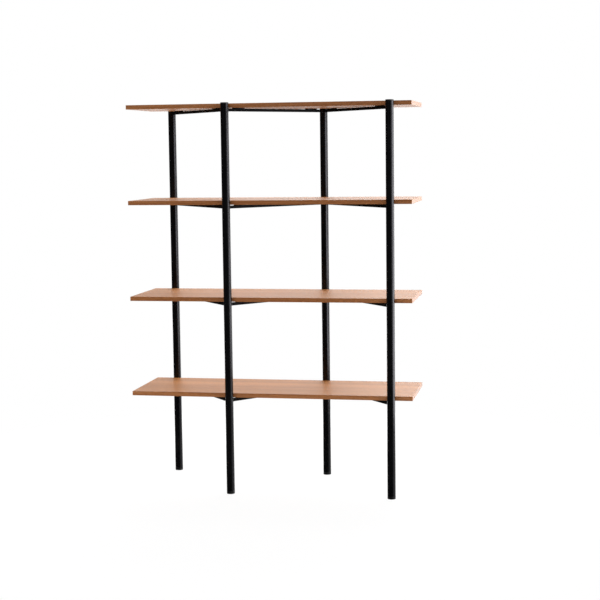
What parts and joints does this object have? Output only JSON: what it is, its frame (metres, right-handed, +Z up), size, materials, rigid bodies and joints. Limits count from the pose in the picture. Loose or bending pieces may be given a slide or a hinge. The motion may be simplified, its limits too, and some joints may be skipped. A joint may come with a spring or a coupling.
{
  "type": "shelving unit",
  "caption": "Free-standing open shelving unit: thin wooden boards on round black tube posts set in a zigzag, with steel rails from post to post under each board and levelling feet.",
  "frame": {"origin": "on the floor under the middle of the unit", "axes": "+X along the boards to the right, +Y to the back, +Z up; the front is towards -Y"},
  "size_m": [1.2, 0.45, 1.64],
  "materials": {
    "shelf_wood": "satin",
    "black_steel": "satin",
    "black_plastic": "matte",
    "zinc_steel": "satin"
  },
  "bodies": {
    "frame": {"top_shelf": "shelf_wood", "top_left_rail": "black_steel", "top_middle_rail": "black_steel", "top_right_rail": "black_steel", "top_rail_seats": "black_steel", "top_seat_bolts": "zinc_steel", "top_shelf_screws": "zinc_steel", "upper_shelf": "shelf_wood", "upper_left_rail": "black_steel", "upper_middle_rail": "black_steel", "upper_right_rail": "black_steel", "upper_rail_seats": "black_steel", "upper_seat_bolts": "zinc_steel", "upper_shelf_screws": "zinc_steel", "lower_shelf": "shelf_wood", "lower_left_rail": "black_steel", "lower_middle_rail": "black_steel", "lower_right_rail": "black_steel", "lower_rail_seats": "black_steel", "lower_seat_bolts": "zinc_steel", "lower_shelf_screws": "zinc_steel", "bottom_shelf": "shelf_wood", "bottom_left_rail": "black_steel", "bottom_middle_rail": "black_steel", "bottom_right_rail": "black_steel", "bottom_rail_seats": "black_steel", "bottom_seat_bolts": "zinc_steel", "bottom_shelf_screws": "zinc_steel", "rear_left_post": "black_steel", "rear_left_post_cap": "black_plastic", "rear_left_post_lugs": "black_steel", "rear_left_foot_insert": "black_plastic", "front_left_post": "black_steel", "front_left_post_cap": "black_plastic", "front_left_post_lugs": "black_steel", "front_left_foot_insert": "black_plastic", "rear_right_post": "black_steel", "rear_right_post_cap": "black_plastic", "rear_right_post_lugs": "black_steel", "rear_right_foot_insert": "black_plastic", "front_right_post": "black_steel", "front_right_post_cap": "black_plastic", "front_right_post_lugs": "black_steel", "front_right_foot_insert": "black_plastic"},
    "rear_left_foot": {"rear_left_foot_pad": "black_plastic", "rear_left_foot_stud": "zinc_steel"},
    "front_left_foot": {"front_left_foot_pad": "black_plastic", "front_left_foot_stud": "zinc_steel"},
    "rear_right_foot": {"rear_right_foot_pad": "black_plastic", "rear_right_foot_stud": "zinc_steel"},
    "front_right_foot": {"front_right_foot_pad": "black_plastic", "front_right_foot_stud": "zinc_steel"}
  },
  "joints": [
    {"name": "rear_left_foot_travel", "type": "slide", "parent": "frame", "child": "rear_left_foot", "axis": [0, 0, 1], "range_m": [-0.012, 0]},
    {"name": "front_left_foot_travel", "type": "slide", "parent": "frame", "child": "front_left_foot", "axis": [0, 0, 1], "range_m": [-0.012, 0]},
    {"name": "rear_right_foot_travel", "type": "slide", "parent": "frame", "child": "rear_right_foot", "axis": [0, 0, 1], "range_m": [-0.012, 0]},
    {"name": "front_right_foot_travel", "type": "slide", "parent": "frame", "child": "front_right_foot", "axis": [0, 0, 1], "range_m": [-0.012, 0]}
  ]
}
